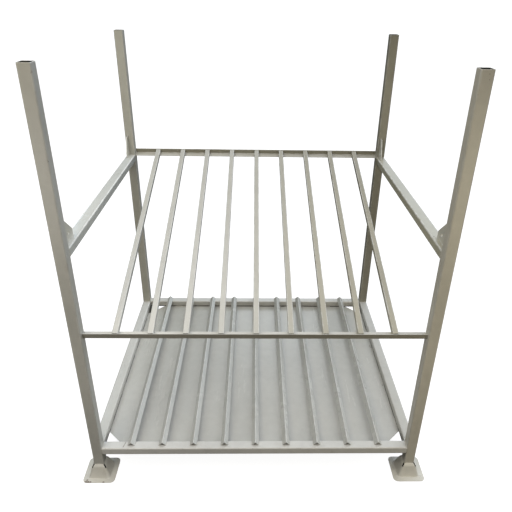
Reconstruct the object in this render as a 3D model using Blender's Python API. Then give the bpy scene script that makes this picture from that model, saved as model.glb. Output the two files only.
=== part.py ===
"""Tyre storage rack: a welded steel frame on four posts, with a ribbed floor and a sloping shelf of bars.

Metres, +Z up. X runs along the width and Y from the front to the back. The origin is on the
ground, in the middle of the four posts. Every piece is welded to the next, so nothing moves.
"""

import math

import bmesh
import bpy
from mathutils import Matrix, Vector

# Overall size, over the posts' outer faces
WIDTH = 1.600
DEPTH = 1.400
HEIGHT = 1.950

# The gap left between two pieces that touch
GAP = 0.0003

# Square posts, and how far each reaches into the collar of its foot
POST = 0.050
POST_WALL = 0.003
POST_IN_FOOT = 0.008

# Stacking feet, pressed from sheet: collar, sloping shoulder, flaring wall and flat flange
FOOT_SHEET = 0.004
FOOT_HEIGHT = 0.074
FOOT_SHOULDER_HEIGHT = 0.060
FOOT_SHOULDER_REACH = 0.010
FOOT_FLANGE = 0.156
FOOT_FLANGE_LIP = 0.025
FOOT_SHOULDER_RADIUS = 0.009
FOOT_WALL_RADIUS = 0.013
FOOT_FLANGE_RADIUS = 0.022

# Diagonal slits at the shoulder's corners, where the pressed sheet parts
SLIT_WIDTH = 0.005
SLIT_DEPTH = 0.017

# Flat rails, as wide as the posts, at the floor and half way up the sides
RAIL_HEIGHT = 0.040
RAIL_WALL = 0.003
BASE_RAIL_BOTTOM = 0.138
SIDE_RAIL_BOTTOM = 1.205

# Floor sheet under the base rails, with its corners cut off to clear the posts
FLOOR_SHEET = 0.002
FLOOR_INSET = 0.010
FLOOR_CORNER_CUT = 0.180

# Ribs across the floor: equal angles laid ridge up on the front and back rails
RIB_LEG = 0.025
RIB_WALL = 0.003
RIB_FRONT_INSET = 0.020
RIB_BACK_INSET = 0.010

# Sloping shelf: two angles with their lips outwards and up, and square bars laid between the lips
SHELF_FRONT_HEIGHT = 0.8235
SHELF_BACK_HEIGHT = 1.2455
SHELF_FRONT_INSET = 0.0213
SHELF_BACK_INSET = 0.0
SHELF_FLAT = 0.036
SHELF_LIP = 0.030
SHELF_WALL = 0.003
BAR = 0.026
BAR_WALL = 0.002
BAR_COUNT = 9

# Gusset plates in the corners above the side rails. The back pair is shorter, and is welded a
# little to the left of the rails' middle.
GUSSET_PLATE = 0.005
GUSSET_LENGTH = {"front": 0.125, "back": 0.065}
GUSSET_SHIFT = {"front": 0.0, "back": -0.010}
GUSSET_RISE = 0.115
GUSSET_TOP = 0.030
GUSSET_END = 0.031
GUSSET_HOLE = 0.013
GUSSET_HOLE_FROM_POST = {"front": 0.077, "back": 0.036}
GUSSET_HOLE_ABOVE_RAIL = 0.031

# Sections: outer corner radius of a tube in walls, and the angles' inner root radius in walls
TUBE_RADIUS_IN_WALLS = 2.0
ROOT_RADIUS_IN_WALLS = 1.0
ARC_STEPS = 3
FOOT_ARC_STEPS = 4
HOLE_STEPS = 16

# Worked out from the sizes above
POST_X = (WIDTH - POST) / 2
POST_Y = (DEPTH - POST) / 2
CLEAR_WIDTH = WIDTH - 2 * POST
CLEAR_DEPTH = DEPTH - 2 * POST
BASE_RAIL_TOP = BASE_RAIL_BOTTOM + RAIL_HEIGHT
SIDE_RAIL_TOP = SIDE_RAIL_BOTTOM + RAIL_HEIGHT
SHELF_RUN = DEPTH - SHELF_FRONT_INSET - SHELF_BACK_INSET
SHELF_RISE = SHELF_BACK_HEIGHT - SHELF_FRONT_HEIGHT
SHELF_LENGTH = math.hypot(SHELF_RUN, SHELF_RISE)
SHELF_TILT = math.atan2(SHELF_RISE, SHELF_RUN)
BAR_PITCH = (CLEAR_WIDTH + BAR) / (BAR_COUNT + 1)

SIDES = {"left": -1, "right": 1}
ENDS = {"front": -1, "back": 1}

# A section is drawn in its own XY plane and runs along Z. These turn that run along X, Y or Z,
# and the section's two axes then lie along the two that follow in X, Y, Z order.
RUN_X = Matrix(((0, 0, 1), (1, 0, 0), (0, 1, 0))).to_euler()
RUN_Y = Matrix(((0, 1, 0), (0, 0, 1), (1, 0, 0))).to_euler()
RUN_Z = Matrix.Identity(3).to_euler()


# ---------------------------------------------------------------- scene and materials


def clear_scene():
    for obj in list(bpy.data.objects):
        bpy.data.objects.remove(obj, do_unlink=True)


def new_collection(name):
    collection = bpy.data.collections.new(name)
    bpy.context.scene.collection.children.link(collection)
    return collection


def paint(name, colour, roughness):
    """Semi-gloss paint on steel."""
    material = bpy.data.materials.new(name)
    material.use_nodes = True
    shader = material.node_tree.nodes["Principled BSDF"]
    shader.inputs["Base Color"].default_value = (*colour, 1)
    shader.inputs["Roughness"].default_value = roughness
    shader.inputs["Metallic"].default_value = 0.0
    return material


clear_scene()
RACK = new_collection("tyre_storage_rack")
CUTTERS = new_collection("cutters")
CUTTERS.hide_render = True

FRAME_PAINT = paint("frame_paint", (0.30, 0.285, 0.235), 0.42)
FOOT_PAINT = paint("foot_paint", (0.29, 0.275, 0.225), 0.50)
FLOOR_PAINT = paint("floor_paint", (0.46, 0.47, 0.44), 0.30)
SHELF_PAINT = paint("shelf_paint", (0.50, 0.49, 0.44), 0.38)


# ---------------------------------------------------------------- outlines


def rounded_rectangle(width, height, radius, steps=ARC_STEPS):
    """A rectangle about the origin with an arc in each corner, counter-clockwise."""
    points = []
    for quarter, (side_x, side_y) in enumerate(((1, 1), (-1, 1), (-1, -1), (1, -1))):
        centre = Vector((side_x * (width / 2 - radius), side_y * (height / 2 - radius)))
        for step in range(steps + 1):
            angle = math.pi / 2 * (quarter + step / steps)
            points.append(centre + radius * Vector((math.cos(angle), math.sin(angle))))
    return points


def tube_section(width, height, wall):
    """The outer and inner outlines of a rectangular tube."""
    radius = TUBE_RADIUS_IN_WALLS * wall
    outer = rounded_rectangle(width, height, radius)
    inner = rounded_rectangle(width - 2 * wall, height - 2 * wall, radius - wall)
    return [outer, inner]


def angle_section(leg_x, leg_y, wall):
    """An angle with its outer corner at the origin, one leg along +X and the other along +Y."""
    root = ROOT_RADIUS_IN_WALLS * wall
    centre = Vector((wall + root, wall + root))
    points = [Vector((0, 0)), Vector((leg_x, 0)), Vector((leg_x, wall))]
    for step in range(ARC_STEPS + 1):
        angle = math.radians(270) - math.pi / 2 * step / ARC_STEPS
        points.append(centre + root * Vector((math.cos(angle), math.sin(angle))))
    points += [Vector((wall, leg_y)), Vector((0, leg_y))]
    return points


def circle(centre, diameter):
    angles = [2 * math.pi * step / HOLE_STEPS for step in range(HOLE_STEPS)]
    return [centre + diameter / 2 * Vector((math.cos(a), math.sin(a))) for a in angles]


def turned(points, angle):
    return [Matrix.Rotation(angle, 2) @ point for point in points]


def mirrored(points):
    return [Vector((-point.x, point.y)) for point in points]


# ---------------------------------------------------------------- solids


def extrusion(name, outlines, length, material):
    """An outline, with any others as holes in it, extruded to both sides of its own plane."""
    curve = bpy.data.curves.new(name, "CURVE")
    curve.dimensions = "2D"
    curve.fill_mode = "BOTH"
    curve.extrude = length / 2
    for outline in outlines:
        spline = curve.splines.new("POLY")
        spline.points.add(len(outline) - 1)
        spline.use_cyclic_u = True
        for point, corner in zip(spline.points, outline):
            point.co = (corner.x, corner.y, 0, 1)
    curve.materials.append(material)
    obj = bpy.data.objects.new(name, curve)
    RACK.objects.link(obj)
    return obj


def place(obj, location, run=RUN_Z, parent=None):
    obj.location = location
    obj.rotation_euler = run
    obj.parent = parent


def bar_centres():
    """Where the bars and the ribs under them stand along the width, with equal gaps between the posts."""
    return [(number - (BAR_COUNT - 1) / 2) * BAR_PITCH for number in range(BAR_COUNT)]


def make_posts():
    bottom = FOOT_HEIGHT - POST_IN_FOOT
    for end, towards_y in ENDS.items():
        for side, towards_x in SIDES.items():
            section = tube_section(POST, POST, POST_WALL)
            post = extrusion(f"post_{end}_{side}", section, HEIGHT - bottom, FRAME_PAINT)
            place(post, (towards_x * POST_X, towards_y * POST_Y, (HEIGHT + bottom) / 2))


def meet(point_a, run_a, point_b, run_b):
    """Where two lines in a profile's plane cross."""
    return point_a + run_a * ((point_b - point_a).cross(run_b) / run_a.cross(run_b))


def foot_rings():
    """The foot's profile as (half width, height, corner radius), down its outside and up its inside."""
    collar = POST / 2 + GAP
    top = Vector((collar, FOOT_HEIGHT))
    shoulder = Vector((POST / 2 + FOOT_SHOULDER_REACH, FOOT_SHOULDER_HEIGHT))
    foot_of_wall = Vector((FOOT_FLANGE / 2 - FOOT_FLANGE_LIP, FOOT_SHEET))
    rim = FOOT_FLANGE / 2

    slope = (shoulder - top).normalized()
    flare = (foot_of_wall - shoulder).normalized()
    under_slope = shoulder + FOOT_SHEET * Vector((slope.y, -slope.x))
    inside_flare = shoulder + FOOT_SHEET * Vector((flare.y, -flare.x))
    level = Vector((1, 0))
    plumb = Vector((0, 1))
    inner_mouth = meet(inside_flare, flare, Vector((0, 0)), level)
    inner_shoulder = meet(inside_flare, flare, under_slope, slope)
    inner_top = meet(under_slope, slope, top, plumb)

    collar_radius = TUBE_RADIUS_IN_WALLS * POST_WALL + GAP
    return [
        (top.x, top.y, collar_radius),
        (shoulder.x, shoulder.y, FOOT_SHOULDER_RADIUS),
        (foot_of_wall.x, foot_of_wall.y, FOOT_WALL_RADIUS),
        (rim, FOOT_SHEET, FOOT_FLANGE_RADIUS),
        (rim, 0, FOOT_FLANGE_RADIUS),
        (inner_mouth.x, 0, FOOT_WALL_RADIUS - FOOT_SHEET / 2),
        (inner_shoulder.x, inner_shoulder.y, FOOT_SHOULDER_RADIUS - FOOT_SHEET / 2),
        (inner_top.x, inner_top.y, collar_radius),
    ]


def foot_mesh():
    """Rounded squares of changing size joined in a ring, outside and inside, into one pressed shell."""
    shell = bmesh.new()
    loops = []
    for half, height, radius in foot_rings():
        outline = rounded_rectangle(2 * half, 2 * half, radius, FOOT_ARC_STEPS)
        loops.append([shell.verts.new((point.x, point.y, height)) for point in outline])
    for loop, following in zip(loops, loops[1:] + loops[:1]):
        for i, j in zip(range(len(loop)), [*range(1, len(loop)), 0]):
            shell.faces.new((loop[i], loop[j], following[j], following[i]))
    bmesh.ops.recalc_face_normals(shell, faces=shell.faces)
    mesh = bpy.data.meshes.new("foot")
    shell.to_mesh(mesh)
    shell.free()
    mesh.shade_smooth()
    mesh.set_sharp_from_angle(angle=math.radians(30))
    mesh.materials.append(FOOT_PAINT)
    return mesh


def slit_mesh():
    """A thin box on each diagonal of the shoulder, from inside its collar to past its corner."""
    near = POST / 2
    far = POST / 2 + 2 * FOOT_SHOULDER_REACH
    low = FOOT_HEIGHT - SLIT_DEPTH
    high = FOOT_HEIGHT + SLIT_DEPTH
    blades = bmesh.new()
    for quarter in range(4):
        turn = Matrix.Rotation(math.radians(45 + 90 * quarter), 4, "Z")
        middle = Matrix.Translation((math.sqrt(2) * (near + far) / 2, 0, (low + high) / 2))
        size = Matrix.Diagonal((math.sqrt(2) * (far - near), SLIT_WIDTH, high - low, 1))
        bmesh.ops.create_cube(blades, size=1, matrix=turn @ middle @ size)
    mesh = bpy.data.meshes.new("foot_slits")
    blades.to_mesh(mesh)
    blades.free()
    return mesh


def make_feet():
    shell = foot_mesh()
    slits = slit_mesh()
    for end, towards_y in ENDS.items():
        for side, towards_x in SIDES.items():
            foot = bpy.data.objects.new(f"foot_{end}_{side}", shell)
            RACK.objects.link(foot)
            place(foot, (towards_x * POST_X, towards_y * POST_Y, 0))

            cutter = bpy.data.objects.new(f"cutter_slits_{end}_{side}", slits)
            CUTTERS.objects.link(cutter)
            cutter.hide_render = True
            cutter.display_type = "WIRE"
            cutter.parent = foot

            cut = foot.modifiers.new("slits", "BOOLEAN")
            cut.operation = "DIFFERENCE"
            cut.solver = "EXACT"
            cut.object = cutter


def make_base_rails():
    """Four flat tubes between the posts, flush with their faces."""
    height = BASE_RAIL_BOTTOM + RAIL_HEIGHT / 2
    for end, towards_y in ENDS.items():
        section = tube_section(POST, RAIL_HEIGHT, RAIL_WALL)
        rail = extrusion(f"base_rail_{end}", section, CLEAR_WIDTH - 2 * GAP, FRAME_PAINT)
        place(rail, (0, towards_y * POST_Y, height), RUN_X)
    for side, towards_x in SIDES.items():
        section = tube_section(RAIL_HEIGHT, POST, RAIL_WALL)
        rail = extrusion(f"base_rail_{side}", section, CLEAR_DEPTH - 2 * GAP, FRAME_PAINT)
        place(rail, (towards_x * POST_X, 0, height), RUN_Y)


def make_floor_sheet():
    """One flat sheet under the rails, an octagon with short corners."""
    half_x = WIDTH / 2 - FLOOR_INSET
    half_y = DEPTH / 2 - FLOOR_INSET
    cut = FLOOR_CORNER_CUT
    quarter = [Vector((half_x, half_y - cut)), Vector((half_x - cut, half_y))]
    half = quarter + mirrored(reversed(quarter))
    outline = half + [-point for point in half]
    sheet = extrusion("floor_sheet", [outline], FLOOR_SHEET, FLOOR_PAINT)
    place(sheet, (0, 0, BASE_RAIL_BOTTOM - GAP - FLOOR_SHEET / 2))


def make_floor_ribs():
    """Angles laid ridge up across the floor, on the front and back rails, one under each bar."""
    front = -DEPTH / 2 + RIB_FRONT_INSET
    back = DEPTH / 2 - RIB_BACK_INSET
    section = turned(angle_section(RIB_LEG, RIB_LEG, RIB_WALL), math.radians(135))
    ridge = BASE_RAIL_TOP + GAP + (RIB_LEG + RIB_WALL) / math.sqrt(2)
    for number, x in enumerate(bar_centres(), start=1):
        rib = extrusion(f"floor_rib_{number}", [section], back - front, FLOOR_PAINT)
        place(rib, (x, (front + back) / 2, ridge), RUN_Y)


def make_side_rails():
    for side, towards_x in SIDES.items():
        section = tube_section(RAIL_HEIGHT, POST, RAIL_WALL)
        rail = extrusion(f"side_rail_{side}", section, CLEAR_DEPTH - 2 * GAP, FRAME_PAINT)
        place(rail, (towards_x * POST_X, 0, SIDE_RAIL_BOTTOM + RAIL_HEIGHT / 2), RUN_Y)


def make_gussets():
    """Corner plates with a cut-off corner and a round hole, standing on the side rails against the posts."""
    for end, towards_y in ENDS.items():
        # The outline's X is height above the rail and its Y is distance from the post, for RUN_X
        length = GUSSET_LENGTH[end]
        corners = [(0, 0), (length, 0), (length, GUSSET_END), (GUSSET_TOP, GUSSET_RISE), (0, GUSSET_RISE)]
        outline = [Vector((-towards_y * along, above)) for along, above in corners]
        hole_centre = Vector((-towards_y * GUSSET_HOLE_FROM_POST[end], GUSSET_HOLE_ABOVE_RAIL))
        outlines = [outline, circle(hole_centre, GUSSET_HOLE)]
        for side, towards_x in SIDES.items():
            gusset = extrusion(f"gusset_{end}_{side}", outlines, GUSSET_PLATE, FRAME_PAINT)
            beside_post = towards_y * (CLEAR_DEPTH / 2 - GAP)
            middle_of_rail = towards_x * POST_X + GUSSET_SHIFT[end]
            place(gusset, (middle_of_rail, beside_post, SIDE_RAIL_TOP + GAP), RUN_X)


def make_shelf():
    """Everything on the shelf hangs from an empty at the front angle's outer corner, tilted with it."""
    plane = bpy.data.objects.new("shelf_plane", None)
    RACK.objects.link(plane)
    plane.location = (0, -DEPTH / 2 + SHELF_FRONT_INSET, SHELF_FRONT_HEIGHT)
    plane.rotation_euler = (SHELF_TILT, 0, 0)

    section = angle_section(SHELF_FLAT, SHELF_LIP, SHELF_WALL)
    length = CLEAR_WIDTH - 2 * GAP
    front = extrusion("shelf_angle_front", [section], length, SHELF_PAINT)
    place(front, (0, 0, 0), RUN_X, plane)
    back = extrusion("shelf_angle_back", [mirrored(section)], length, SHELF_PAINT)
    place(back, (0, SHELF_LENGTH, 0), RUN_X, plane)

    root = ROOT_RADIUS_IN_WALLS * SHELF_WALL
    bar_length = SHELF_LENGTH - 2 * (SHELF_WALL + root + GAP)
    above = SHELF_WALL + GAP + BAR / 2
    section = tube_section(BAR, BAR, BAR_WALL)
    for number, x in enumerate(bar_centres(), start=1):
        bar = extrusion(f"shelf_bar_{number}", section, bar_length, SHELF_PAINT)
        place(bar, (x, SHELF_LENGTH / 2, above), RUN_Y, plane)


make_posts()
make_feet()
make_base_rails()
make_floor_sheet()
make_floor_ribs()
make_side_rails()
make_gussets()
make_shelf()
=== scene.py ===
import math
import random

import bmesh
import bpy
from mathutils import Matrix, Vector, noise


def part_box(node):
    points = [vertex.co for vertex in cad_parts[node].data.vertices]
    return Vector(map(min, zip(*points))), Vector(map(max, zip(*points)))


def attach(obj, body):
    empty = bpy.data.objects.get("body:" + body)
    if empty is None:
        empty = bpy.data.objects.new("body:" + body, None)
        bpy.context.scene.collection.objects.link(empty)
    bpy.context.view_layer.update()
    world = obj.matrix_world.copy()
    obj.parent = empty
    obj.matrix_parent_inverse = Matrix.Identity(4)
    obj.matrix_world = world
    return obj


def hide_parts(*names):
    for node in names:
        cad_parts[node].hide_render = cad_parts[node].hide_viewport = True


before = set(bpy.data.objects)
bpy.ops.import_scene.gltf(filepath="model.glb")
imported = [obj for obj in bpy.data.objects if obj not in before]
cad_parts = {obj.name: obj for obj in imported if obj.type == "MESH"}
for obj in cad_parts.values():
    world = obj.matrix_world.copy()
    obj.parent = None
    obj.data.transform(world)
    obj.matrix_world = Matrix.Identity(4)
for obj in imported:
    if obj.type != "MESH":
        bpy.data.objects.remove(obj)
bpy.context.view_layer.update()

# ---------------------------------------------------------------- the view
# The rack stands square on the ground, looked at from in front, a little above its posts' tops
# and to the left of its middle, through a lens that is shifted a little.
SENSOR = 36.0
eye = Vector((-0.0104, -2.5487, 2.1906))
yaw, pitch, roll = 0.02894, 0.48979, 0.01906
ahead = Vector((math.sin(yaw) * math.cos(pitch), math.cos(yaw) * math.cos(pitch), -math.sin(pitch)))
level = Vector((math.cos(yaw), -math.sin(yaw), 0))
rise = level.cross(ahead)
right = level * math.cos(roll) + rise * math.sin(roll)
up = rise * math.cos(roll) - level * math.sin(roll)

lens = bpy.data.cameras.new("camera")
lens.sensor_width = SENSOR
lens.lens = 36.92
lens.shift_x = -0.0227
lens.shift_y = 0.0155
lens.clip_end = 400
camera = bpy.data.objects.new("camera", lens)
camera.matrix_world = Matrix((
    (right.x, up.x, -ahead.x, eye.x),
    (right.y, up.y, -ahead.y, eye.y),
    (right.z, up.z, -ahead.z, eye.z),
    (0, 0, 0, 1),
))
bpy.context.scene.collection.objects.link(camera)
bpy.context.scene.camera = camera
bpy.context.scene.view_settings.view_transform = "Standard"


# ---------------------------------------------------------------- the studio
# A white floor with no edge in sight, a wide glow overhead, a cooler one low behind the right
# side and a faint one from the right front, and soft lamps at the front corners, over the front,
# at the left and behind. Under the feet the floor's colour and glow are painted dark: painted
# shade where no light gets in.
class Socket:
    """A node's output that takes part in sums: numbers go in as they are, links as links."""

    def __init__(self, tree, output):
        self.tree = tree
        self.output = output

    def sum(self, operation, first, second=None):
        values = [value for value in (first, second) if value is not None]
        return self.tree.node("ShaderNodeMath", {"operation": operation}, dict(enumerate(values)))

    def __add__(self, other):
        return self.sum("ADD", self, other)

    def __radd__(self, other):
        return self.sum("ADD", other, self)

    def __sub__(self, other):
        return self.sum("SUBTRACT", self, other)

    def __rsub__(self, other):
        return self.sum("SUBTRACT", other, self)

    def __mul__(self, other):
        return self.sum("MULTIPLY", self, other)

    def __rmul__(self, other):
        return self.sum("MULTIPLY", other, self)

    def size(self):
        return self.sum("ABSOLUTE", self)

    def larger(self, other):
        return self.sum("MAXIMUM", self, other)

    def exponential(self):
        return self.sum("EXPONENT", self)


class Tree:
    """The nodes of one material, or of the world, each made by one call."""

    def __init__(self, owner):
        self.owner = owner
        owner.use_nodes = True
        self.nodes = owner.node_tree.nodes
        self.links = owner.node_tree.links
        self.nodes.clear()

    def node(self, kind, settings=None, inputs=None, output=0):
        """Make a node: its settings first, then its sockets' values or links."""
        made = self.nodes.new(kind)
        for name, value in (settings or {}).items():
            setattr(made, name, value)
        for name, value in (inputs or {}).items():
            if isinstance(value, Socket):
                self.links.new(value.output, made.inputs[name])
            else:
                made.inputs[name].default_value = value
        return Socket(self, made.outputs[output] if made.outputs else None)

    def vector(self, operation, first, second, output=0):
        inputs = {0: first, "Scale" if operation == "SCALE" else 1: second}
        return self.node("ShaderNodeVectorMath", {"operation": operation}, inputs, output)

    def place(self):
        """The point on the piece, in metres, in the rack's own frame."""
        return self.node("ShaderNodeTexCoord", output="Object")

    def noise(self, place, scale, detail=3.0, roughness=0.55):
        inputs = {"Vector": place, "Scale": scale, "Detail": detail, "Roughness": roughness}
        return self.node("ShaderNodeTexNoise", {}, inputs)

    def ramp(self, value, low, high):
        """0 below low, 1 above high, and smooth between."""
        inputs = {"Value": value, "From Min": low, "From Max": high}
        return self.node("ShaderNodeMapRange", {"interpolation_type": "SMOOTHSTEP"}, inputs)

    def mix(self, share, first, second):
        inputs = {"Factor": share, 6: first, 7: second}
        return self.node("ShaderNodeMix", {"data_type": "RGBA"}, inputs, 2)

    def finish(self, shader, kind="ShaderNodeOutputMaterial"):
        self.node(kind, {}, {"Surface": shader})
        return self.owner


GLOW_SHARPNESS = 6.0
GLOWS = [
    # degrees round from the back towards the right, degrees up, colour times strength
    (0, 90, (1.50, 1.50, 1.47)),
    (45, 18, (1.84, 2.07, 2.32)),
    (120, 50, (0.58, 0.55, 0.58)),
]
HORIZON = (-0.03, 0.03)
surround = Tree(bpy.data.worlds.new("studio"))
outward = surround.node("ShaderNodeTexCoord", output="Generated")
glow_sum = (0.0, 0.0, 0.0)
for round_degrees, up_degrees, glow_colour in GLOWS:
    round_angle, up_angle = math.radians(round_degrees), math.radians(up_degrees)
    towards = (
        math.sin(round_angle) * math.cos(up_angle),
        math.cos(round_angle) * math.cos(up_angle),
        math.sin(up_angle),
    )
    facing = surround.vector("DOT_PRODUCT", outward, towards, "Value")
    fading = ((facing - 1) * GLOW_SHARPNESS).exponential()
    glow_sum = surround.vector("ADD", glow_sum, surround.vector("SCALE", glow_colour, fading))
height = surround.node("ShaderNodeSeparateXYZ", {}, {"Vector": outward}, "Z")
above_ground = surround.ramp(height, *HORIZON)
glow_sum = surround.vector("SCALE", glow_sum, above_ground)
background = surround.node("ShaderNodeBackground", {}, {"Color": glow_sum, "Strength": 1.0})
bpy.context.scene.world = surround.finish(background, "ShaderNodeOutputWorld")

LAMPS = [
    # name, place, point it faces, width, watts, colour
    ("lamp_over_front", (-0.6, -1.3, 3.4), (0, 0, 0.8), 1.4, 11.5, (1.0, 0.98, 0.90)),
    ("lamp_front_left_high", (-1.7, -1.9, 2.8), (0, 0, 0.8), 1.2, 11.0, (1.0, 0.88, 0.62)),
    ("lamp_front_left_low", (-1.6, -2.2, 1.0), (-0.6, 0, 0.8), 1.0, 9.4, (0.92, 0.90, 0.86)),
    ("lamp_front_right_low", (1.6, -2.2, 1.0), (0.6, 0, 0.8), 1.0, 9.6, (1.0, 0.91, 0.66)),
    ("lamp_over_left", (-0.9, 0.0, 2.6), (-0.5, 0, 0.9), 0.8, 3.7, (1.0, 0.99, 0.94)),
    ("lamp_left_back", (-1.9, 1.4, 1.9), (0, 0, 0.9), 0.8, 9.8, (0.66, 0.83, 1.0)),
    ("lamp_back", (0.3, 6.0, 3.7), (0, 0, 0.9), 2.0, 30.0, (0.86, 0.93, 1.0)),
]
for name, stand, aim, width, watts, colour in LAMPS:
    light = bpy.data.lights.new(name, "AREA")
    light.shape = "SQUARE"
    light.size = width
    light.energy = watts
    light.color = colour
    lamp = bpy.data.objects.new(name, light)
    lamp.location = stand
    lamp.rotation_euler = (Vector(aim) - Vector(stand)).to_track_quat("-Z", "Y").to_euler()
    lamp.visible_camera = False
    bpy.context.scene.collection.objects.link(lamp)

FLOOR_WIDTH = 600.0
FLOOR_DROP = 0.0004
FLOOR_GREY = (0.28, 0.28, 0.28, 1)
FLOOR_GLOW = (1.0, 1.0, 1.0, 1)
FLOOR_SHADE_GREY = (0.02, 0.02, 0.02, 1)
FLOOR_UNLIT = (0.0, 0.0, 0.0, 1)
# Within this square round each foot the floor is painted dark and does not glow: painted shade.
FOOT_MOUTH = 0.056
FOOT_MOUTH_EDGE = 0.008
floor_tree = Tree(bpy.data.materials.new("studio_floor"))
ground = floor_tree.place()
ground_x = floor_tree.node("ShaderNodeSeparateXYZ", {}, {"Vector": ground}, "X")
ground_y = floor_tree.node("ShaderNodeSeparateXYZ", {}, {"Vector": ground}, "Y")
foot_middle = (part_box("foot_front_right")[0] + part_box("foot_front_right")[1]) / 2
from_foot_x = (ground_x.size() - foot_middle.x).size()
from_foot_y = (ground_y.size() + foot_middle.y).size()
from_foot = from_foot_x.larger(from_foot_y)
lit = floor_tree.ramp(from_foot, FOOT_MOUTH, FOOT_MOUTH + FOOT_MOUTH_EDGE)
floor_white = floor_tree.node("ShaderNodeBsdfPrincipled", {}, {
    "Base Color": floor_tree.mix(lit, FLOOR_SHADE_GREY, FLOOR_GREY),
    "Roughness": 0.9,
    "Specular IOR Level": 0.0,
    "Emission Color": floor_tree.mix(lit, FLOOR_UNLIT, FLOOR_GLOW),
    "Emission Strength": 0.92,
})
bpy.ops.mesh.primitive_plane_add(size=FLOOR_WIDTH, location=(0, 0, -FLOOR_DROP))
studio_floor = bpy.context.object
studio_floor.name = "studio_floor"
studio_floor.data.materials.append(floor_tree.finish(floor_white))
studio_floor.visible_diffuse = False
studio_floor.visible_glossy = False

# ---------------------------------------------------------------- corner posts
# Square steel tube, 50 mm wide with a 3 mm wall and soft bends, cut off square and left open at
# the top, where the next rack's foot sits. Sprayed with warm grey semi-gloss paint like the rest;
# each post's grey also holds painted light and shade, lighter at the front right and darker at the
# back right.
SIDES = {"left": -1, "right": 1}
ENDS = {"front": -1, "back": 1}
POST_WALL = 0.003
POST_BEND = 0.006
RIM_EASE = 0.0007
LEAST_BEND = 0.0006
SHARP_DEGREES = 38
# Each post's grey holds painted light and shade as well as the paint's own tone.
POST_LIT_AND_SHADED_GREYS = {
    ("front", "left"): (0.465, 0.459, 0.420),
    ("front", "right"): (0.555, 0.530, 0.460),
    ("back", "left"): (0.470, 0.462, 0.402),
    ("back", "right"): (0.315, 0.300, 0.238),
}
RUST_BROWN = (0.085, 0.045, 0.026, 1)
BARE_STEEL = (0.30, 0.27, 0.23, 1)
PALE_DUST_AND_LIGHT = (0.66, 0.655, 0.62, 1)
SAWN_PALE = (0.86, 0.86, 0.83, 1)
SOIL_SHARES = (0.62, 0.58, 0.50)

# How many of each kind of cloud, patch or speck in the paint lie along a metre
CLOUDS = 2.6
MOTTLE = 24.0
DUST_AND_LIGHT_DRIFTS = 7.0
SOIL_PATCHES = 11.0
DARK_SPECKS = 210.0
BEND_WEAR_AND_HIGHLIGHT_SPOTS = 17.0
CHIPS = 95.0
RAGGED_EDGES = 420.0
RUST_BLOOMS = 260.0
ORANGE_PEEL = 330.0
PEEL_HEIGHT = 0.00022


def toned(colour, share):
    return tuple(share * part for part in colour) + (1,)


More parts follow.
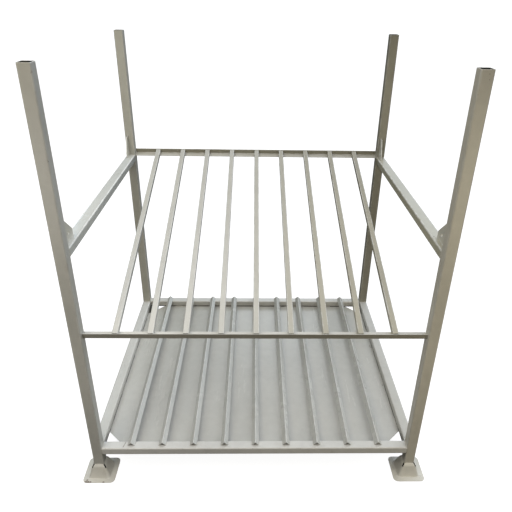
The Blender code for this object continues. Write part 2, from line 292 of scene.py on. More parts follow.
def paint(name, colour, dust_and_top_light=0.25, soil=0.3, marks=(), grain=(1, 1, 1), gloss=0.27, clouding=0.14,
          bend_wear_and_highlight=0.35, sawn=0.0, right_shaded_colour=None, back_shade_share=1.0):
    """Sprayed paint: cloudy, with orange peel, pale dust and painted light on top faces, soil in patches,
    worn bends with a painted highlight, and chips.

    marks are (x, y, z, radius) of rusty spots, grain stretches the soil's patches, gloss is the least
    roughness and bend_wear_and_highlight how pale the bends are, worn and with a painted highlight.
    dust_and_top_light is how much pale dust and painted light lie on top faces. sawn is how pale a
    plate's cut edges are. right_shaded_colour is the darker tone, a painted shade, that the paint drifts
    to across the width, and back_shade_share its share left at the back, a painted shade there.
    """
    tree = Tree(bpy.data.materials.new(name))
    place = tree.place()
    cloud = tree.noise(place, CLOUDS, 4.0)
    mottle = tree.noise(place, MOTTLE, 4.0, 0.65)
    tint = tree.ramp(cloud * 0.6 + mottle * 0.4, 0.3, 0.7)
    deep, pale = 1 - clouding / 2, 1 + clouding / 2
    shade = tree.mix(tint, toned(colour, deep), toned(colour, pale))
    # Painted shade: the paint drifts to a darker tone towards the right, where less light falls.
    if right_shaded_colour:
        right_shaded = tree.mix(tint, toned(right_shaded_colour, deep), toned(right_shaded_colour, pale))
        across = tree.node("ShaderNodeSeparateXYZ", {}, {"Vector": place}, "X")
        shade = tree.mix(tree.ramp(across, -0.25, 0.45), shade, right_shaded)
    # Painted shade: the paint is darkened towards the back, where less light falls.
    if back_shade_share != 1.0:
        inward = tree.node("ShaderNodeSeparateXYZ", {}, {"Vector": place}, "Y")
        back_shade = tree.mix(tree.ramp(inward, -0.6, 0.75), (1, 1, 1, 1), toned((1, 1, 0.96), back_shade_share))
        shade = tree.vector("MULTIPLY", shade, back_shade)

    facing = tree.node("ShaderNodeNewGeometry", output="Normal")
    lying = tree.node("ShaderNodeSeparateXYZ", {}, {"Vector": facing}, "Z")
    if sawn:
        sideways = tree.node("ShaderNodeSeparateXYZ", {}, {"Vector": facing}, "X").size()
        shade = tree.mix((1 - tree.ramp(sideways, 0.4, 0.6)) * sawn, shade, SAWN_PALE)
    # Top faces are paler: pale dust, and painted light where the tops catch more light.
    dust_and_top_light_mask = tree.ramp(lying, 0.35, 0.95) * (0.6 + 0.8 * tree.noise(place, DUST_AND_LIGHT_DRIFTS, 5.0, 0.7))
    shade = tree.mix(dust_and_top_light_mask * dust_and_top_light, shade, PALE_DUST_AND_LIGHT)
    patches = tree.noise(tree.vector("MULTIPLY", place, grain), SOIL_PATCHES, 6.0, 0.72)
    soiled = tree.ramp(patches, 0.54, 0.74)
    soil_colour = tuple(part * share for part, share in zip(colour, SOIL_SHARES)) + (1,)
    shade = tree.mix(soiled * soil, shade, soil_colour)
    specks = tree.ramp(tree.noise(place, DARK_SPECKS, 2.0, 0.6), 0.70, 0.76)
    shade = tree.mix(specks * 0.35, shade, toned(colour, 0.5))

    bend = tree.node("ShaderNodeAttribute", {"attribute_name": "wear"}, output="Fac")
    # Bends are paler: worn paint, and a painted highlight along them.
    bend_wear_and_highlight_mask = tree.ramp(bend * tree.noise(place, BEND_WEAR_AND_HIGHLIGHT_SPOTS, 4.0, 0.7), 0.34, 0.62)
    shade = tree.mix(bend_wear_and_highlight_mask * bend_wear_and_highlight, shade, PALE_DUST_AND_LIGHT)
    chipped = tree.ramp(bend * tree.noise(place, CHIPS, 4.0, 0.7), 0.665, 0.69)
    for x, y, z, radius in marks:
        away = tree.vector("DISTANCE", place, (x, y, z), "Value")
        ragged = away + (tree.noise(place, RAGGED_EDGES, 3.0, 0.7) - 0.5) * radius * 1.6
        chipped = chipped.larger(1 - tree.ramp(ragged, radius * 0.7, radius))
    rust = tree.mix(tree.ramp(tree.noise(place, RUST_BLOOMS, 3.0), 0.42, 0.6), BARE_STEEL, RUST_BROWN)
    shade = tree.mix(chipped * 0.85, shade, rust)

    peel = tree.noise(place, ORANGE_PEEL, 2.0, 0.5)
    relief = peel * 0.5 + mottle * 0.6 - chipped * 0.8
    bump = {"Strength": 0.35, "Distance": PEEL_HEIGHT, "Height": relief}
    bumps = tree.node("ShaderNodeBump", {}, bump)
    shader = tree.node("ShaderNodeBsdfPrincipled", {}, {
        "Base Color": shade,
        "Roughness": gloss + cloud * 0.10 + soiled * 0.10 + dust_and_top_light_mask * 0.05 + chipped * 0.35,
        "Normal": bumps,
        "Specular IOR Level": 0.5,
    })
    return tree.finish(shader)


def dark_inside(name):
    """Bare rolled steel inside tubes and feet, where no spray reaches, painted nearly black as shade, with a
    rusty bloom.
    """
    tree = Tree(bpy.data.materials.new(name))
    bloom = tree.ramp(tree.noise(tree.place(), 40.0, 5.0, 0.7), 0.45, 0.7)
    shader = tree.node("ShaderNodeBsdfPrincipled", {}, {
        "Base Color": tree.mix(bloom, (0.012, 0.011, 0.010, 1), (0.035, 0.022, 0.015, 1)),
        "Roughness": 0.6 + bloom * 0.3,
        "Specular IOR Level": 0.2,
    })
    return tree.finish(shader)


bare_and_shaded_inside = dark_inside("bare_and_shaded_inside")


def rounded(corners, steps=5, flat=0.0015):
    """A closed outline through (x, y, radius) corners: a list of (point, wear), worn on its bends."""
    outline = []
    for index, (x, y, radius) in enumerate(corners):
        corner = Vector((x, y))
        back = (Vector(corners[index - 1][:2]) - corner).normalized()
        on = (Vector(corners[(index + 1) % len(corners)][:2]) - corner).normalized()
        opening = back.angle(on)
        reach = radius / math.tan(opening / 2)
        centre = corner + (back + on).normalized() * radius / math.sin(opening / 2)
        spoke = corner + back * reach - centre
        sweep = math.copysign(math.pi - opening, back.x * on.y - back.y * on.x) * -1
        outline.append((corner + back * (reach + flat), 0.0))
        for step in range(steps + 1):
            angle = sweep * step / steps
            turned = Vector((
                spoke.x * math.cos(angle) - spoke.y * math.sin(angle),
                spoke.x * math.sin(angle) + spoke.y * math.cos(angle),
            ))
            outline.append((centre + turned, 1.0))
        outline.append((corner + on * (reach + flat), 0.0))
    return outline


def square(width, depth, bend):
    half_x, half_y = width / 2, depth / 2
    corners = [(half_x, -half_y), (half_x, half_y), (-half_x, half_y), (-half_x, -half_y)]
    return rounded([(x, y, bend) for x, y in corners])


def lofted(rings, turn, shut, unpainted_and_shaded=()):
    """A shell over rings of (outline, distance along), closed on itself if shut, else capped at its ends.

    unpainted_and_shaded are the bands, counted from the first ring, that take the shell's second material,
    painted near black as shade.
    """
    shell = bmesh.new()
    wear = shell.verts.layers.float.new("wear")
    loops = []
    for outline, along in rings:
        loop = []
        for point, worn in outline:
            vert = shell.verts.new(turn @ Vector((point.x, point.y, along)))
            vert[wear] = worn
            loop.append(vert)
        loops.append(loop)
    following_loops = loops[1:] + loops[:1] if shut else loops[1:]
    for band, (loop, following) in enumerate(zip(loops, following_loops)):
        for index in range(len(loop)):
            after = (index + 1) % len(loop)
            face = shell.faces.new((loop[index], loop[after], following[after], following[index]))
            face.material_index = 1 if band in unpainted_and_shaded else 0
    if not shut:
        shell.faces.new(loops[0])
        shell.faces.new(loops[-1])
    return shell


# How a length is turned: its section's x and y, and then its run, along the rack's axes
ALONG = {
    "X": Matrix(((0, 0, 1, 0), (1, 0, 0, 0), (0, 1, 0, 0), (0, 0, 0, 1))),
    "Y": Matrix(((0, 1, 0, 0), (0, 0, 1, 0), (1, 0, 0, 0), (0, 0, 0, 1))),
    "Z": Matrix(),
}


def tube(width, depth, length, wall, bend, turn):
    """A hollow length with its sawn rims eased, centred on the origin."""
    half = length / 2
    inner_bend = max(bend - wall, LEAST_BEND)
    outside = square(width, depth, bend)
    inside = square(width - 2 * wall, depth - 2 * wall, inner_bend)
    rim_out = square(width - 2 * RIM_EASE, depth - 2 * RIM_EASE, bend - RIM_EASE)
    rim_in = square(width - 2 * wall + 2 * RIM_EASE, depth - 2 * wall + 2 * RIM_EASE, inner_bend + RIM_EASE)
    rim_out = [(point, 1.0) for point, worn in rim_out]
    rim_in = [(point, 1.0) for point, worn in rim_in]
    rings = [(outside, RIM_EASE - half), (outside, half - RIM_EASE), (rim_out, half), (rim_in, half)]
    rings += [(inside, half - RIM_EASE), (inside, RIM_EASE - half), (rim_in, -half), (rim_out, -half)]
    # The inside band takes the near-black material: bare steel, and painted shade inside the tube.
    return lofted(rings, turn, True, (4,))


def settle(shell, node):
    """Put a shell where the CAD piece is: the same middle across, the same lowest point."""
    low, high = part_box(node)
    places = [vert.co for vert in shell.verts]
    lowest = [min(point[axis] for point in places) for axis in range(3)]
    highest = [max(point[axis] for point in places) for axis in range(3)]
    across = [(low[axis] + high[axis] - lowest[axis] - highest[axis]) / 2 for axis in range(2)]
    bmesh.ops.translate(shell, verts=shell.verts, vec=Vector((*across, low.z - lowest[2])))


def piece(name, shell, finish, slot, *stands_for):
    """Make the shell an object that rides on the rack, in place of the CAD pieces that it stands for."""
    bmesh.ops.recalc_face_normals(shell, faces=shell.faces)
    mesh = bpy.data.meshes.new(name)
    shell.to_mesh(mesh)
    shell.free()
    mesh.shade_smooth()
    mesh.set_sharp_from_angle(angle=math.radians(SHARP_DEGREES))
    mesh.materials.append(finish)
    if any(polygon.material_index for polygon in mesh.polygons):
        mesh.materials.append(bare_and_shaded_inside)
    obj = bpy.data.objects.new(name, mesh)
    bpy.context.scene.collection.objects.link(obj)
    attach(obj, "root")
    if stands_for:
        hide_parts(*stands_for)
    return obj


POST_MARKS = {
    ("front", "right"): [(0.781, -0.700, 1.935, 0.0022), (0.784, -0.700, 1.917, 0.0018)],
    ("front", "left"): [(-0.790, -0.700, 0.32, 0.0013)],
    ("back", "left"): [],
    ("back", "right"): [(0.770, 0.650, 1.47, 0.0016)],
}
for end in ENDS:
    for side in SIDES:
        node = f"post_{end}_{side}"
        low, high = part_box(node)
        grey, marks = POST_LIT_AND_SHADED_GREYS[end, side], POST_MARKS[end, side]
        finish = paint(f"{node}_paint", grey, marks=marks, grain=(1, 1, 0.35))
        shell = tube(high.x - low.x, high.y - low.y, high.z - low.z, POST_WALL, POST_BEND, ALONG["Z"])
        settle(shell, node)
        piece(f"post_tube_{end}_{side}", shell, finish, "frame_paint", node)

# ---------------------------------------------------------------- stacking feet
# Sheet steel pressed into a square bell: a collar round the post, a small shoulder slit at its
# corners, walls that flare out, and a flat flange. The post stands in it, welded round the collar.
FOOT_SHEET = 0.004
FOOT_COLLAR = 0.0253
FOOT_TOP = 0.074
FOOT_SHOULDER = (0.035, 0.060)
FOOT_REACH = 0.078
FOOT_LIP = 0.025
FOOT_BENDS = {"collar": 0.0063, "shoulder": 0.009, "wall": 0.013, "flange": 0.022}
FOOT_EASE = 0.0035
SLIT_WIDTH = 0.0065
SLIT_DEPTH = 0.018
SLIT_START = 0.002
SLIT_REACH = 0.018
FOOT_UNPAINTED_AND_SHADED = range(15, 23)
FOOT_GREY = (0.60, 0.585, 0.525)
FOOT_MARKS = [
    (-0.837, -0.749, 0.003, 0.008), (-0.826, -0.751, 0.003, 0.009), (-0.814, -0.749, 0.003, 0.006),
    (-0.832, -0.738, 0.004, 0.005), (-0.750, -0.751, 0.003, 0.006), (0.8246, -0.706, 0.018, 0.002),
    (0.832, -0.722, 0.004, 0.002), (0.829, -0.735, 0.004, 0.0015),
]


def eased(profile):
    """Each corner of a closed profile of (half width, height, bend) drawn into a short curve."""
    softened = []
    for index, corner in enumerate(profile):
        before = profile[index - 1] - corner
        after = profile[(index + 1) % len(profile)] - corner
        first = corner + before * min(FOOT_EASE / before.xy.length, 0.3)
        last = corner + after * min(FOOT_EASE / after.xy.length, 0.3)
        softened += [first, first * 0.25 + corner * 0.5 + last * 0.25, last]
    return softened


def meet(first, first_way, second, second_way):
    """Where two lines of the profile cross."""
    across = first_way.x * second_way.y - first_way.y * second_way.x
    gap = second - first
    return first + first_way * ((gap.x * second_way.y - gap.y * second_way.x) / across)


def foot_profile():
    top = Vector((FOOT_COLLAR, FOOT_TOP))
    shoulder = Vector(FOOT_SHOULDER)
    wall_foot = Vector((FOOT_REACH - FOOT_LIP, FOOT_SHEET))
    slope = (shoulder - top).normalized()
    flare = (wall_foot - shoulder).normalized()
    under_slope = shoulder + FOOT_SHEET * Vector((slope.y, -slope.x))
    inside_flare = shoulder + FOOT_SHEET * Vector((flare.y, -flare.x))
    mouth = meet(inside_flare, flare, Vector((0, 0)), Vector((1, 0)))
    inner_shoulder = meet(inside_flare, flare, under_slope, slope)
    inner_top = meet(under_slope, slope, top, Vector((0, 1)))
    half_sheet = FOOT_SHEET / 2
    stations = [
        (top, FOOT_BENDS["collar"]),
        (shoulder, FOOT_BENDS["shoulder"]),
        (wall_foot, FOOT_BENDS["wall"]),
        (Vector((FOOT_REACH, FOOT_SHEET)), FOOT_BENDS["flange"]),
        (Vector((FOOT_REACH, 0)), FOOT_BENDS["flange"]),
        (Vector((mouth.x, 0)), FOOT_BENDS["wall"] - half_sheet),
        (inner_shoulder, FOOT_BENDS["shoulder"] - half_sheet),
        (inner_top, FOOT_BENDS["collar"]),
    ]
    return [Vector((station.x, station.y, bend)) for station, bend in stations]


def pressed_foot():
    """The bell as one shell, with a diagonal slit cut through its shoulder at each corner."""
    rings = []
    for half, height, bend in eased(foot_profile()):
        rings.append((square(2 * half, 2 * half, bend), height))
    shell = lofted(rings, Matrix(), True, FOOT_UNPAINTED_AND_SHADED)
    bmesh.ops.recalc_face_normals(shell, faces=shell.faces)
    mesh = bpy.data.meshes.new("foot_shell")
    shell.to_mesh(mesh)
    shell.free()
    whole = bpy.data.objects.new("foot_shell", mesh)
    bpy.context.scene.collection.objects.link(whole)

    blades = bmesh.new()
    near, far = FOOT_COLLAR - SLIT_START, FOOT_COLLAR + SLIT_REACH
    for quarter in range(4):
        turn = Matrix.Rotation(math.radians(45 + 90 * quarter), 4, "Z")
        middle = Matrix.Translation((math.sqrt(2) * (near + far) / 2, 0, FOOT_TOP))
        size = Matrix.Diagonal((math.sqrt(2) * (far - near), SLIT_WIDTH, 2 * SLIT_DEPTH, 1))
        bmesh.ops.create_cube(blades, size=1, matrix=turn @ middle @ size)
    # The slits' cut walls take the near-black material too: painted shade in the slits.
    for face in blades.faces:
        face.material_index = 1
    blade_mesh = bpy.data.meshes.new("foot_slit_blades")
    blades.to_mesh(blade_mesh)
    blades.free()
    cutter = bpy.data.objects.new("foot_slit_blades", blade_mesh)
    bpy.context.scene.collection.objects.link(cutter)
    cut = whole.modifiers.new("slits", "BOOLEAN")
    cut.operation = "DIFFERENCE"
    cut.solver = "EXACT"
    cut.object = cutter
    finished = whole.evaluated_get(bpy.context.evaluated_depsgraph_get()).to_mesh()
    slit = bmesh.new()
    slit.from_mesh(finished)
    for obj in (whole, cutter):
        bpy.data.objects.remove(obj)
    return slit


foot_paint = paint("foot_paint", FOOT_GREY, dust_and_top_light=0.15, soil=0.35, marks=FOOT_MARKS)
foot_shell = pressed_foot()
for end in ENDS:
    for side in SIDES:
        shell = foot_shell.copy()
        settle(shell, f"foot_{end}_{side}")
        piece(f"pressed_foot_{end}_{side}", shell, foot_paint, "foot_paint", f"foot_{end}_{side}")
foot_shell.free()

# ---------------------------------------------------------------- collar welds
# A run of weld bead closes the joint between each post and its foot. Every other joint of the
# rack has such beads too: short overlapping scales of steel, painted over with the rest.
SCALE_PITCH = 0.0028
SCALE_DIP = 0.84
BEAD_SIDES = 7
BEAD_TAPER = (0.35, 0.8, 1.0)
BEAD_SWAY = 0.12
BEAD_WEAR = 0.45
WELD_GREY = (0.50, 0.485, 0.425)


def bead(shell, run, thick):
    """Lay one bead along a run of points: rounded, rippled in scales, thin at its two ends."""
    wear = shell.verts.layers.float.get("wear") or shell.verts.layers.float.new("wear")
    points = []
    for start, finish in zip(run, run[1:]):
        start, finish = Vector(start), Vector(finish)
        count = max(2, round((finish - start).length / (SCALE_PITCH / 2)))
        points += [(start.lerp(finish, step / count), (finish - start).normalized()) for step in range(count)]
    points.append((Vector(run[-1]), points[-1][1]))
    loops = []
    for index, (point, way) in enumerate(points):
        side = way.orthogonal().normalized()
        over = way.cross(side)
        ends = min(index, len(points) - 1 - index)
        swell = BEAD_TAPER[min(ends, 2)] * (1.0 if index % 2 else SCALE_DIP) * random.uniform(0.9, 1.1)
        wander = Vector((random.uniform(-1, 1), random.uniform(-1, 1), random.uniform(-1, 1)))
        sway = wander * thick * BEAD_SWAY
        loop = []
        for corner in range(BEAD_SIDES):
            angle = 2 * math.pi * corner / BEAD_SIDES
            out = side * math.cos(angle) + over * math.sin(angle)
            vert = shell.verts.new(point + sway + out * thick * swell)
            vert[wear] = BEAD_WEAR
            loop.append(vert)
        loops.append(loop)
    for loop, following in zip(loops, loops[1:]):
        for index in range(BEAD_SIDES):
            after = (index + 1) % BEAD_SIDES
            shell.faces.new((loop[index], loop[after], following[after], following[index]))
    shell.faces.new(loops[0])
    shell.faces.new(loops[-1])


def welds(name, runs, thick, slot="frame_paint"):
    shell = bmesh.new()
    for run in runs:
        bead(shell, run, thick)
    return piece(name, shell, weld_paint, slot)


random.seed(11)
weld_paint = paint("weld_paint", WELD_GREY, dust_and_top_light=0.3, soil=0.45)
COLLAR_BEAD = 0.0016
COLLAR_SINK = 0.0002
runs = []
for end in ENDS:
    for side in SIDES:
        low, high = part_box(f"post_{end}_{side}")
        z = FOOT_TOP - COLLAR_SINK
        for corner_x, corner_y in ((low.x, low.y), (high.x, high.y)):
            runs.append([(corner_x, low.y + POST_BEND, z), (corner_x, high.y - POST_BEND, z)])
            runs.append([(low.x + POST_BEND, corner_y, z), (high.x - POST_BEND, corner_y, z)])
welds("welds_collars", runs, COLLAR_BEAD, "foot_paint")

# ---------------------------------------------------------------- base rails
# Flat rectangular tube, as wide as the posts and 40 mm high, laid between them 138 mm up, butted
# against the posts and welded down its outer face and across its top.
RAIL_WALL = 0.003
RAIL_BEND = 0.006
RAIL_BEAD = 0.0023
BEAD_SINK = 0.0016
BEAD_FLAT_SINK = 0.0008
BEAD_SHORT = 0.004
# Each rail's grey holds painted light and shade: the front rail paler for light bounced up onto it, the right
# one darker.
BASE_LIT_AND_SHADED_GREYS = {
    "front": (0.605, 0.599, 0.572),
    "back": (0.520, 0.510, 0.470),
    "left": (0.540, 0.530, 0.490),
    "right": (0.490, 0.480, 0.440),
}
BASE_DUST_AND_LIGHT = {"front": 0.0, "back": 0.2, "left": 0.25, "right": 0.2}
SCRATCH_START = Vector((-0.6405, -0.659, 0.178))
SCRATCH_END = Vector((-0.6475, -0.688, 0.178))
SCRATCH_WIDTH = 0.0022
scratch = [(*SCRATCH_START.lerp(SCRATCH_END, step / 19), SCRATCH_WIDTH) for step in range(20)]


def rail(name, node, axis, finish):
    low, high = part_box(node)
    size = high - low
    shell = {
        "X": lambda: tube(size.y, size.z, size.x, RAIL_WALL, RAIL_BEND, ALONG["X"]),
        "Y": lambda: tube(size.z, size.x, size.y, RAIL_WALL, RAIL_BEND, ALONG["Y"]),
    }[axis]()
    settle(shell, node)
    piece(name, shell, finish, "frame_paint", node)


for edge, grey in BASE_LIT_AND_SHADED_GREYS.items():
    finish = paint(
        f"base_rail_{edge}_paint", grey, dust_and_top_light=BASE_DUST_AND_LIGHT[edge], gloss=0.24,
        marks=scratch if edge == "front" else (),
    )
    rail(f"base_rail_tube_{edge}", f"base_rail_{edge}", "Y" if edge in SIDES else "X", finish)

runs = []
inner_low, inner_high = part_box("base_rail_front")[0].x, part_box("base_rail_front")[1].x
inner_front, inner_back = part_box("base_rail_left")[0].y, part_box("base_rail_left")[1].y
base_bottom, base_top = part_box("base_rail_front")[0].z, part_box("base_rail_front")[1].z
bead_top = base_top - BEAD_FLAT_SINK
for end, towards_y in ENDS.items():
    low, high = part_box(f"base_rail_{end}")
    outer = (low.y if end == "front" else high.y) - towards_y * BEAD_SINK
    for x in (inner_low, inner_high):
        runs.append([(x, outer, base_bottom + BEAD_SHORT), (x, outer, base_top - BEAD_SHORT)])
        runs.append([(x, low.y + RAIL_BEND, bead_top), (x, high.y - RAIL_BEND, bead_top)])
for side, towards_x in SIDES.items():
    low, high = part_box(f"base_rail_{side}")
    outer = (low.x if side == "left" else high.x) - towards_x * BEAD_SINK
    for y in (inner_front, inner_back):
        runs.append([(outer, y, base_bottom + BEAD_SHORT), (outer, y, base_top - BEAD_SHORT)])
        runs.append([(low.x + RAIL_BEND, y, bead_top), (high.x - RAIL_BEND, y, bead_top)])
welds("welds_base_frame", runs, RAIL_BEAD)

# ---------------------------------------------------------------- floor sheet
# One sheet of 2 mm steel under the base rails, its corners cut off. It is stitch-welded to the
# rails from above and has sagged a little between them, so its shine wanders.
SHEET = 0.002
SHEET_CUT = 0.180
SHEET_SAG = 0.0022
SHEET_GRID = (64, 56)
SHEET_HELD = 0.06
SHEET_EASE = 0.12
SHEET_GREY = (0.532, 0.526, 0.492)
SHEET_MARKS = [
    (0.738, 0.181, 0.138, 0.006), (0.742, 0.170, 0.138, 0.004), (0.741, -0.193, 0.138, 0.004),
    (-0.52, -0.35, 0.138, 0.0016), (0.31, -0.42, 0.138, 0.0014),
]
sheet_paint = paint(
    "floor_sheet_paint", SHEET_GREY, dust_and_top_light=0.12, soil=0.16, marks=SHEET_MARKS, grain=(1, 0.12, 1),
    gloss=0.15, back_shade_share=0.82,
)
low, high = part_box("floor_sheet")
shell = bmesh.new()
half_x, half_y = (high.x - low.x) / 2, (high.y - low.y) / 2
bmesh.ops.create_grid(
    shell, x_segments=SHEET_GRID[0], y_segments=SHEET_GRID[1], size=1,
    matrix=Matrix.Diagonal((half_x, half_y, 1, 1)),
)
for way_x in (-1, 1):
    for way_y in (-1, 1):
        corner = Vector((way_x * (half_x - SHEET_CUT / 2), way_y * (half_y - SHEET_CUT / 2), 0))
        bmesh.ops.bisect_plane(
            shell, geom=[*shell.verts, *shell.edges, *shell.faces], plane_co=corner,
            plane_no=(way_x, way_y, 0), clear_outer=True,
        )
top_verts = list(shell.verts)
for vert in top_verts:
    from_side = half_x - SHEET_HELD - abs(vert.co.x)
    from_end = half_y - SHEET_HELD - abs(vert.co.y)
    inside = max(0.0, min(from_side, from_end, SHEET_EASE) / SHEET_EASE)
    easy = inside * inside * (3 - 2 * inside)
    swell = noise.noise(Vector((vert.co.x * 2.3, vert.co.y * 1.7, 4.0))) + 0.35 * noise.noise(vert.co * 6)
    vert.co.z = -SHEET_SAG * easy * (0.55 + 0.45 * swell)
lower = bmesh.ops.extrude_face_region(shell, geom=list(shell.faces))
lower_verts = [item for item in lower["geom"] if isinstance(item, bmesh.types.BMVert)]
bmesh.ops.translate(shell, verts=lower_verts, vec=(0, 0, -SHEET))
bmesh.ops.translate(shell, verts=shell.verts, vec=((low.x + high.x) / 2, (low.y + high.y) / 2, high.z))
piece("floor_plate", shell, sheet_paint, "floor_paint", "floor_sheet")

# Between the stitches no paint bridges the sheet and the rails' lower bends: a thin near-black strip
# there paints the shade of that open seam.
SEAM_HEIGHT = 0.0050
SEAM_DEEP = 0.002
SEAM_PROUD = 0.0003
seam_shade = bmesh.new()
for edge in BASE_LIT_AND_SHADED_GREYS:
    low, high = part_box(f"base_rail_{edge}")
    if edge in SIDES:
        x = high.x - SEAM_DEEP if edge == "left" else low.x + SEAM_DEEP
        middle = Vector((x, (low.y + high.y) / 2, low.z + SEAM_HEIGHT / 2))
        size = (2 * (SEAM_DEEP + SEAM_PROUD), high.y - low.y, SEAM_HEIGHT, 1)
    else:
        y = high.y - SEAM_DEEP if edge == "front" else low.y + SEAM_DEEP
        middle = Vector(((low.x + high.x) / 2, y, low.z + SEAM_HEIGHT / 2))
        size = (high.x - low.x, 2 * (SEAM_DEEP + SEAM_PROUD), SEAM_HEIGHT, 1)
    bmesh.ops.create_cube(seam_shade, size=1, matrix=Matrix.Translation(middle) @ Matrix.Diagonal(size))
piece("floor_seam_shade", seam_shade, bare_and_shaded_inside, "floor_paint")

STITCH_BEAD = 0.0026
STITCHES = {
    "left": [(0.482, 0.573), (0.247, 0.344), (0.081, 0.154), (-0.267, -0.176), (-0.535, -0.469)],
    "right": [(0.252, 0.342), (0.127, 0.158), (-0.189, -0.072), (-0.530, -0.457)],
    "back": [
        (-0.578, -0.442), (-0.328, -0.286), (-0.171, -0.129), (-0.013, 0.034), (0.134, 0.187),
        (0.229, 0.349), (0.444, 0.539),
    ],
    "front": [(-0.55, -0.46), (-0.24, -0.16), (0.08, 0.17), (0.41, 0.50)],
}
runs = []
for edge, stitches in STITCHES.items():
    low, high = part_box(f"base_rail_{edge}")
    for start, finish in stitches:
        z = base_bottom + BEAD_FLAT_SINK
        if edge in SIDES:
            x = high.x - BEAD_FLAT_SINK if edge == "left" else low.x + BEAD_FLAT_SINK
            runs.append([(x, start, z), (x, finish, z)])
        else:
            y = high.y - BEAD_FLAT_SINK if edge == "front" else low.y + BEAD_FLAT_SINK
            runs.append([(start, y, z), (finish, y, z)])
welds("welds_floor_stitches", runs, STITCH_BEAD, "floor_paint")

# ---------------------------------------------------------------- floor ribs
# Nine rolled angles, 25 by 25 by 3 mm, laid ridge up from the front rail to the back rail, one
# under each shelf bar. Tyres rest on them. Each is tacked to the rails beside its two toes.
RIB_LEG = 0.025
RIB_WALL = 0.003
RIB_ROOT = 0.003
RIB_TOE = 0.0014
RIB_HEEL = 0.0028
RIB_BEAD = 0.0016
RIB_BEAD_SINK = 0.0005
RIB_FRONT_TACK = (0.004, 0.022)
RIB_BACK_TACK = (0.024, 0.006)
RIB_UNDERSIDE = -0.4
RIB_GREY = (0.465, 0.462, 0.430)
rib_paint = paint(
    "floor_rib_paint", RIB_GREY, dust_and_top_light=0.12, soil=0.25, grain=(1, 0.25, 1), gloss=0.18, clouding=0.22,
    bend_wear_and_highlight=0.8, back_shade_share=0.86,
)


ANGLE_CORNER = 0.0004
ANGLE_STEPS = 4
ANGLE_FLAT = 0.0006


def angle_outline(leg_x, leg_y, wall, root, toe, heel):
    """An angle's section: heel at the origin, one leg along x and one along y."""
    return rounded([
        (0, 0, heel), (leg_x, 0, ANGLE_CORNER), (leg_x, wall, toe),
        (wall, wall, root), (wall, leg_y, toe), (0, leg_y, ANGLE_CORNER),
    ], ANGLE_STEPS, ANGLE_FLAT)


RIDGE_UP = Matrix.Rotation(math.radians(-135), 4, "Z")
runs = []
for number in range(1, 10):
    node = f"floor_rib_{number}"
    low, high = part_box(node)
    section = angle_outline(RIB_LEG, RIB_LEG, RIB_WALL, RIB_ROOT, RIB_TOE, RIB_HEEL)
    half = (high.y - low.y) / 2
    upright = Matrix(((1, 0, 0, 0), (0, 0, -1, 0), (0, 1, 0, 0), (0, 0, 0, 1)))
    shell = lofted([(section, -half), (section, half)], upright @ RIDGE_UP, False)
    settle(shell, node)
    bmesh.ops.recalc_face_normals(shell, faces=shell.faces)
    # Faces turned down take the near-black material: painted shade under each rib.
    for face in shell.faces:
        face.material_index = 1 if face.normal.z < RIB_UNDERSIDE else 0
    piece(f"rib_angle_{number}", shell, rib_paint, "floor_paint", node)
    z = low.z + RIB_BEAD_SINK
    for x in (low.x + RIB_BEAD_SINK, high.x - RIB_BEAD_SINK):
        runs.append([(x, low.y + along, z) for along in RIB_FRONT_TACK])
        runs.append([(x, high.y - along, z) for along in RIB_BACK_TACK])
welds("welds_ribs", runs, RIB_BEAD, "floor_paint")

# ---------------------------------------------------------------- side rails
# The same rectangular tube half way up each side, from post to post, level. It ties the posts
# together and leaves the front and the back open.
# The right rail's darker, browner grey is painted shade.
SIDE_LIT_AND_SHADED_GREYS = {"left": (0.520, 0.525, 0.490), "right": (0.450, 0.430, 0.335)}
SIDE_MARKS = {"left": [], "right": [(0.761, -0.517, 1.245, 0.003), (0.765, -0.531, 1.245, 0.0022)]}
runs = []
for side in SIDES:
    node = f"side_rail_{side}"
    finish = paint(f"{node}_paint", SIDE_LIT_AND_SHADED_GREYS[side], dust_and_top_light=0.2, gloss=0.20, bend_wear_and_highlight=1.0, marks=SIDE_MARKS[side])
    rail(f"side_rail_tube_{side}", node, "Y", finish)
    low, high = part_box(node)
    z = high.z - BEAD_FLAT_SINK
    for y in (low.y, high.y):
        for x in (low.x + BEAD_SINK, high.x - BEAD_SINK):
            runs.append([(x, y, low.z + BEAD_SHORT), (x, y, high.z - BEAD_SHORT)])
        runs.append([(low.x + RAIL_BEND, y, z), (high.x - RAIL_BEND, y, z)])
welds("welds_side_rails", runs, RAIL_BEAD)

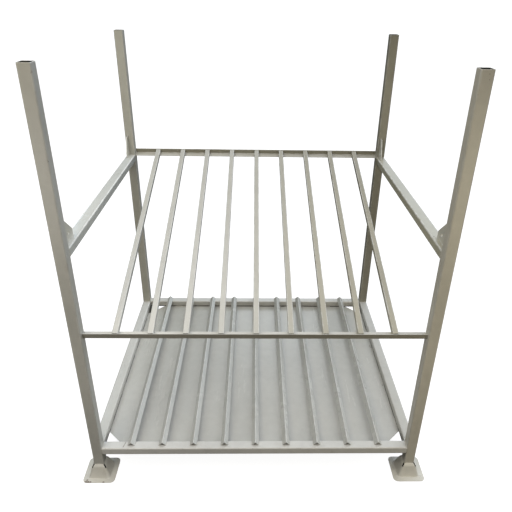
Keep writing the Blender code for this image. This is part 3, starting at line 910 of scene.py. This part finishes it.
# ---------------------------------------------------------------- gussets
# 5 mm plates with a cut-off corner and a round hole, stood on the side rails against the posts
# and welded along both. Their sawn edges are left sharp under the paint.
GUSSET_GREY = (0.54, 0.525, 0.455)
GUSSET_BEAD = 0.0021
GUSSET_SINK = 0.0006
GUSSET_LOW_STITCH = (0.002, 0.034)
GUSSET_HIGH_STITCH = 0.030
GUSSET_FOOT_SHORT = 0.004
GUSSET_TIP_SINK = 0.001
GUSSET_TIP = (-0.002, 0.005)
gusset_paint = paint("gusset_paint", GUSSET_GREY, dust_and_top_light=0.3, soil=0.35, sawn=0.8)
runs = []
for end, towards_y in ENDS.items():
    for side in SIDES:
        node = f"gusset_{end}_{side}"
        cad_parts[node].data.materials.clear()
        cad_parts[node].data.materials.append(gusset_paint)
        low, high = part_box(node)
        against = high.y if end == "back" else low.y
        free = low.y if end == "back" else high.y
        seat = against - towards_y * GUSSET_SINK
        start, finish = against - towards_y * GUSSET_FOOT_SHORT, free + towards_y * GUSSET_FOOT_SHORT
        for x in (low.x, high.x):
            runs.append([(x, seat, low.z + rise) for rise in GUSSET_LOW_STITCH])
            runs.append([(x, seat, high.z - GUSSET_HIGH_STITCH), (x, seat, high.z)])
            runs.append([(x, start, low.z), (x, finish, low.z)])
        middle = (low.x + high.x) / 2
        runs.append([(middle, against - towards_y * GUSSET_TIP_SINK, high.z + rise) for rise in GUSSET_TIP])
welds("welds_gussets", runs, GUSSET_BEAD)

# ---------------------------------------------------------------- shelf angles
# Two rolled angles between the posts, low at the front and high at the back, tilted with the
# shelf: a flat that carries the bars and a lip that keeps them and the tyres in.
SHELF_FLAT = 0.036
SHELF_LIP = 0.030
SHELF_WALL = 0.003
SHELF_TOE = 0.0014
SHELF_HEEL = 0.0010
SHELF_BEAD = 0.0022
SHELF_TILT = math.radians(17.024)
# The angles' dark greys paint the shade on their lips; the heavy pale dust paints light on their flats.
SHELF_SHADED_GREYS = {"front": (0.345, 0.328, 0.282), "back": (0.345, 0.328, 0.255)}
SHELF_DUST_AND_LIGHT = {"front": 0.85, "back": 0.62}
tilt = Matrix.Rotation(SHELF_TILT, 4, "X")
for end, towards_y in ENDS.items():
    node = f"shelf_angle_{end}"
    low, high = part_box(node)
    section = angle_outline(SHELF_FLAT, SHELF_LIP, SHELF_WALL, SHELF_WALL, SHELF_TOE, SHELF_HEEL)
    half = (high.x - low.x) / 2
    facing_in = Matrix.Diagonal((1, -towards_y, 1, 1))
    shell = lofted([(section, -half), (section, half)], tilt @ facing_in @ ALONG["X"], False)
    settle(shell, node)
    grey, dust_and_top_light = SHELF_SHADED_GREYS[end], SHELF_DUST_AND_LIGHT[end]
    finish = paint(f"{node}_paint", grey, dust_and_top_light=dust_and_top_light, soil=0.3, grain=(0.3, 1, 1), bend_wear_and_highlight=0.9)
    piece(f"shelf_lip_{end}", shell, finish, "shelf_paint", node)

front_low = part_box("shelf_angle_front")[0]
shelf_start = Vector((0, front_low.y + SHELF_LIP * math.sin(SHELF_TILT), front_low.z))


def on_shelf(x, along, above):
    """A point given across, up the slope from the front angle's heel, and square off the slope."""
    return shelf_start + tilt @ Vector((x, along, above))


back_low, back_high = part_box("shelf_angle_back")
shelf_length = (back_high.y - shelf_start.y) / math.cos(SHELF_TILT)
runs = []
for x in (back_low.x, back_high.x):
    runs.append([on_shelf(x, BEAD_SHORT, SHELF_WALL), on_shelf(x, SHELF_FLAT, SHELF_WALL)])
    runs.append([on_shelf(x, 0.0, BEAD_SHORT), on_shelf(x, 0.0, SHELF_LIP)])
    runs.append([
        on_shelf(x, shelf_length - SHELF_FLAT, SHELF_WALL),
        on_shelf(x, shelf_length - BEAD_SHORT, SHELF_WALL),
    ])
welds("welds_shelf_angles", runs, SHELF_BEAD, "shelf_paint")

# ---------------------------------------------------------------- shelf bars
# Nine light square tubes, 26 mm, laid up the slope between the two lips with equal gaps, and
# welded to the angles' flats. Tyres lie on them, so their tops are rubbed and dusty; their tops
# and bends are also paler as painted light, and the bars darker to the right and the back as
# painted shade.
BAR = 0.026
BAR_WALL = 0.002
BAR_BEND = 0.0036
BAR_BEAD = 0.0019
BAR_BEAD_SHORT = 0.005
BAR_LIP_BEAD_RISE = 0.024
BAR_LIP_BEAD_SHORT = 0.003
BAR_GREY = (0.558, 0.550, 0.513)
# The bars' tone on the right: painted shade.
BAR_RIGHT_SHADED_GREY = (0.400, 0.375, 0.292)
bar_paint = paint(
    "shelf_bar_paint", BAR_GREY, dust_and_top_light=0.12, soil=0.25, right_shaded_colour=BAR_RIGHT_SHADED_GREY, grain=(1, 0.3, 1),
    gloss=0.24, bend_wear_and_highlight=0.9, back_shade_share=0.80,
)
up_slope = Matrix.Rotation(SHELF_TILT - math.pi / 2, 4, "X")
runs = []
for number in range(1, 10):
    node = f"shelf_bar_{number}"
    low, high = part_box(node)
    length = (high.y - low.y - BAR * math.sin(SHELF_TILT)) / math.cos(SHELF_TILT)
    shell = tube(BAR, BAR, length, BAR_WALL, BAR_BEND, up_slope)
    settle(shell, node)
    piece(f"bar_tube_{number}", shell, bar_paint, "shelf_paint", node)
    for x in (low.x, high.x):
        runs.append([
            on_shelf(x, SHELF_WALL + BAR_BEAD_SHORT, SHELF_WALL),
            on_shelf(x, SHELF_FLAT - 0.002, SHELF_WALL),
        ])
        runs.append([
            on_shelf(x, shelf_length - SHELF_FLAT + 0.002, SHELF_WALL),
            on_shelf(x, shelf_length - SHELF_WALL - BAR_BEAD_SHORT, SHELF_WALL),
        ])
    for along in (SHELF_WALL + BEAD_SINK, shelf_length - SHELF_WALL - BEAD_SINK):
        runs.append([
            on_shelf(low.x + BAR_LIP_BEAD_SHORT, along, BAR_LIP_BEAD_RISE),
            on_shelf(high.x - BAR_LIP_BEAD_SHORT, along, BAR_LIP_BEAD_RISE),
        ])
welds("welds_shelf_bars", runs, BAR_BEAD, "shelf_paint")
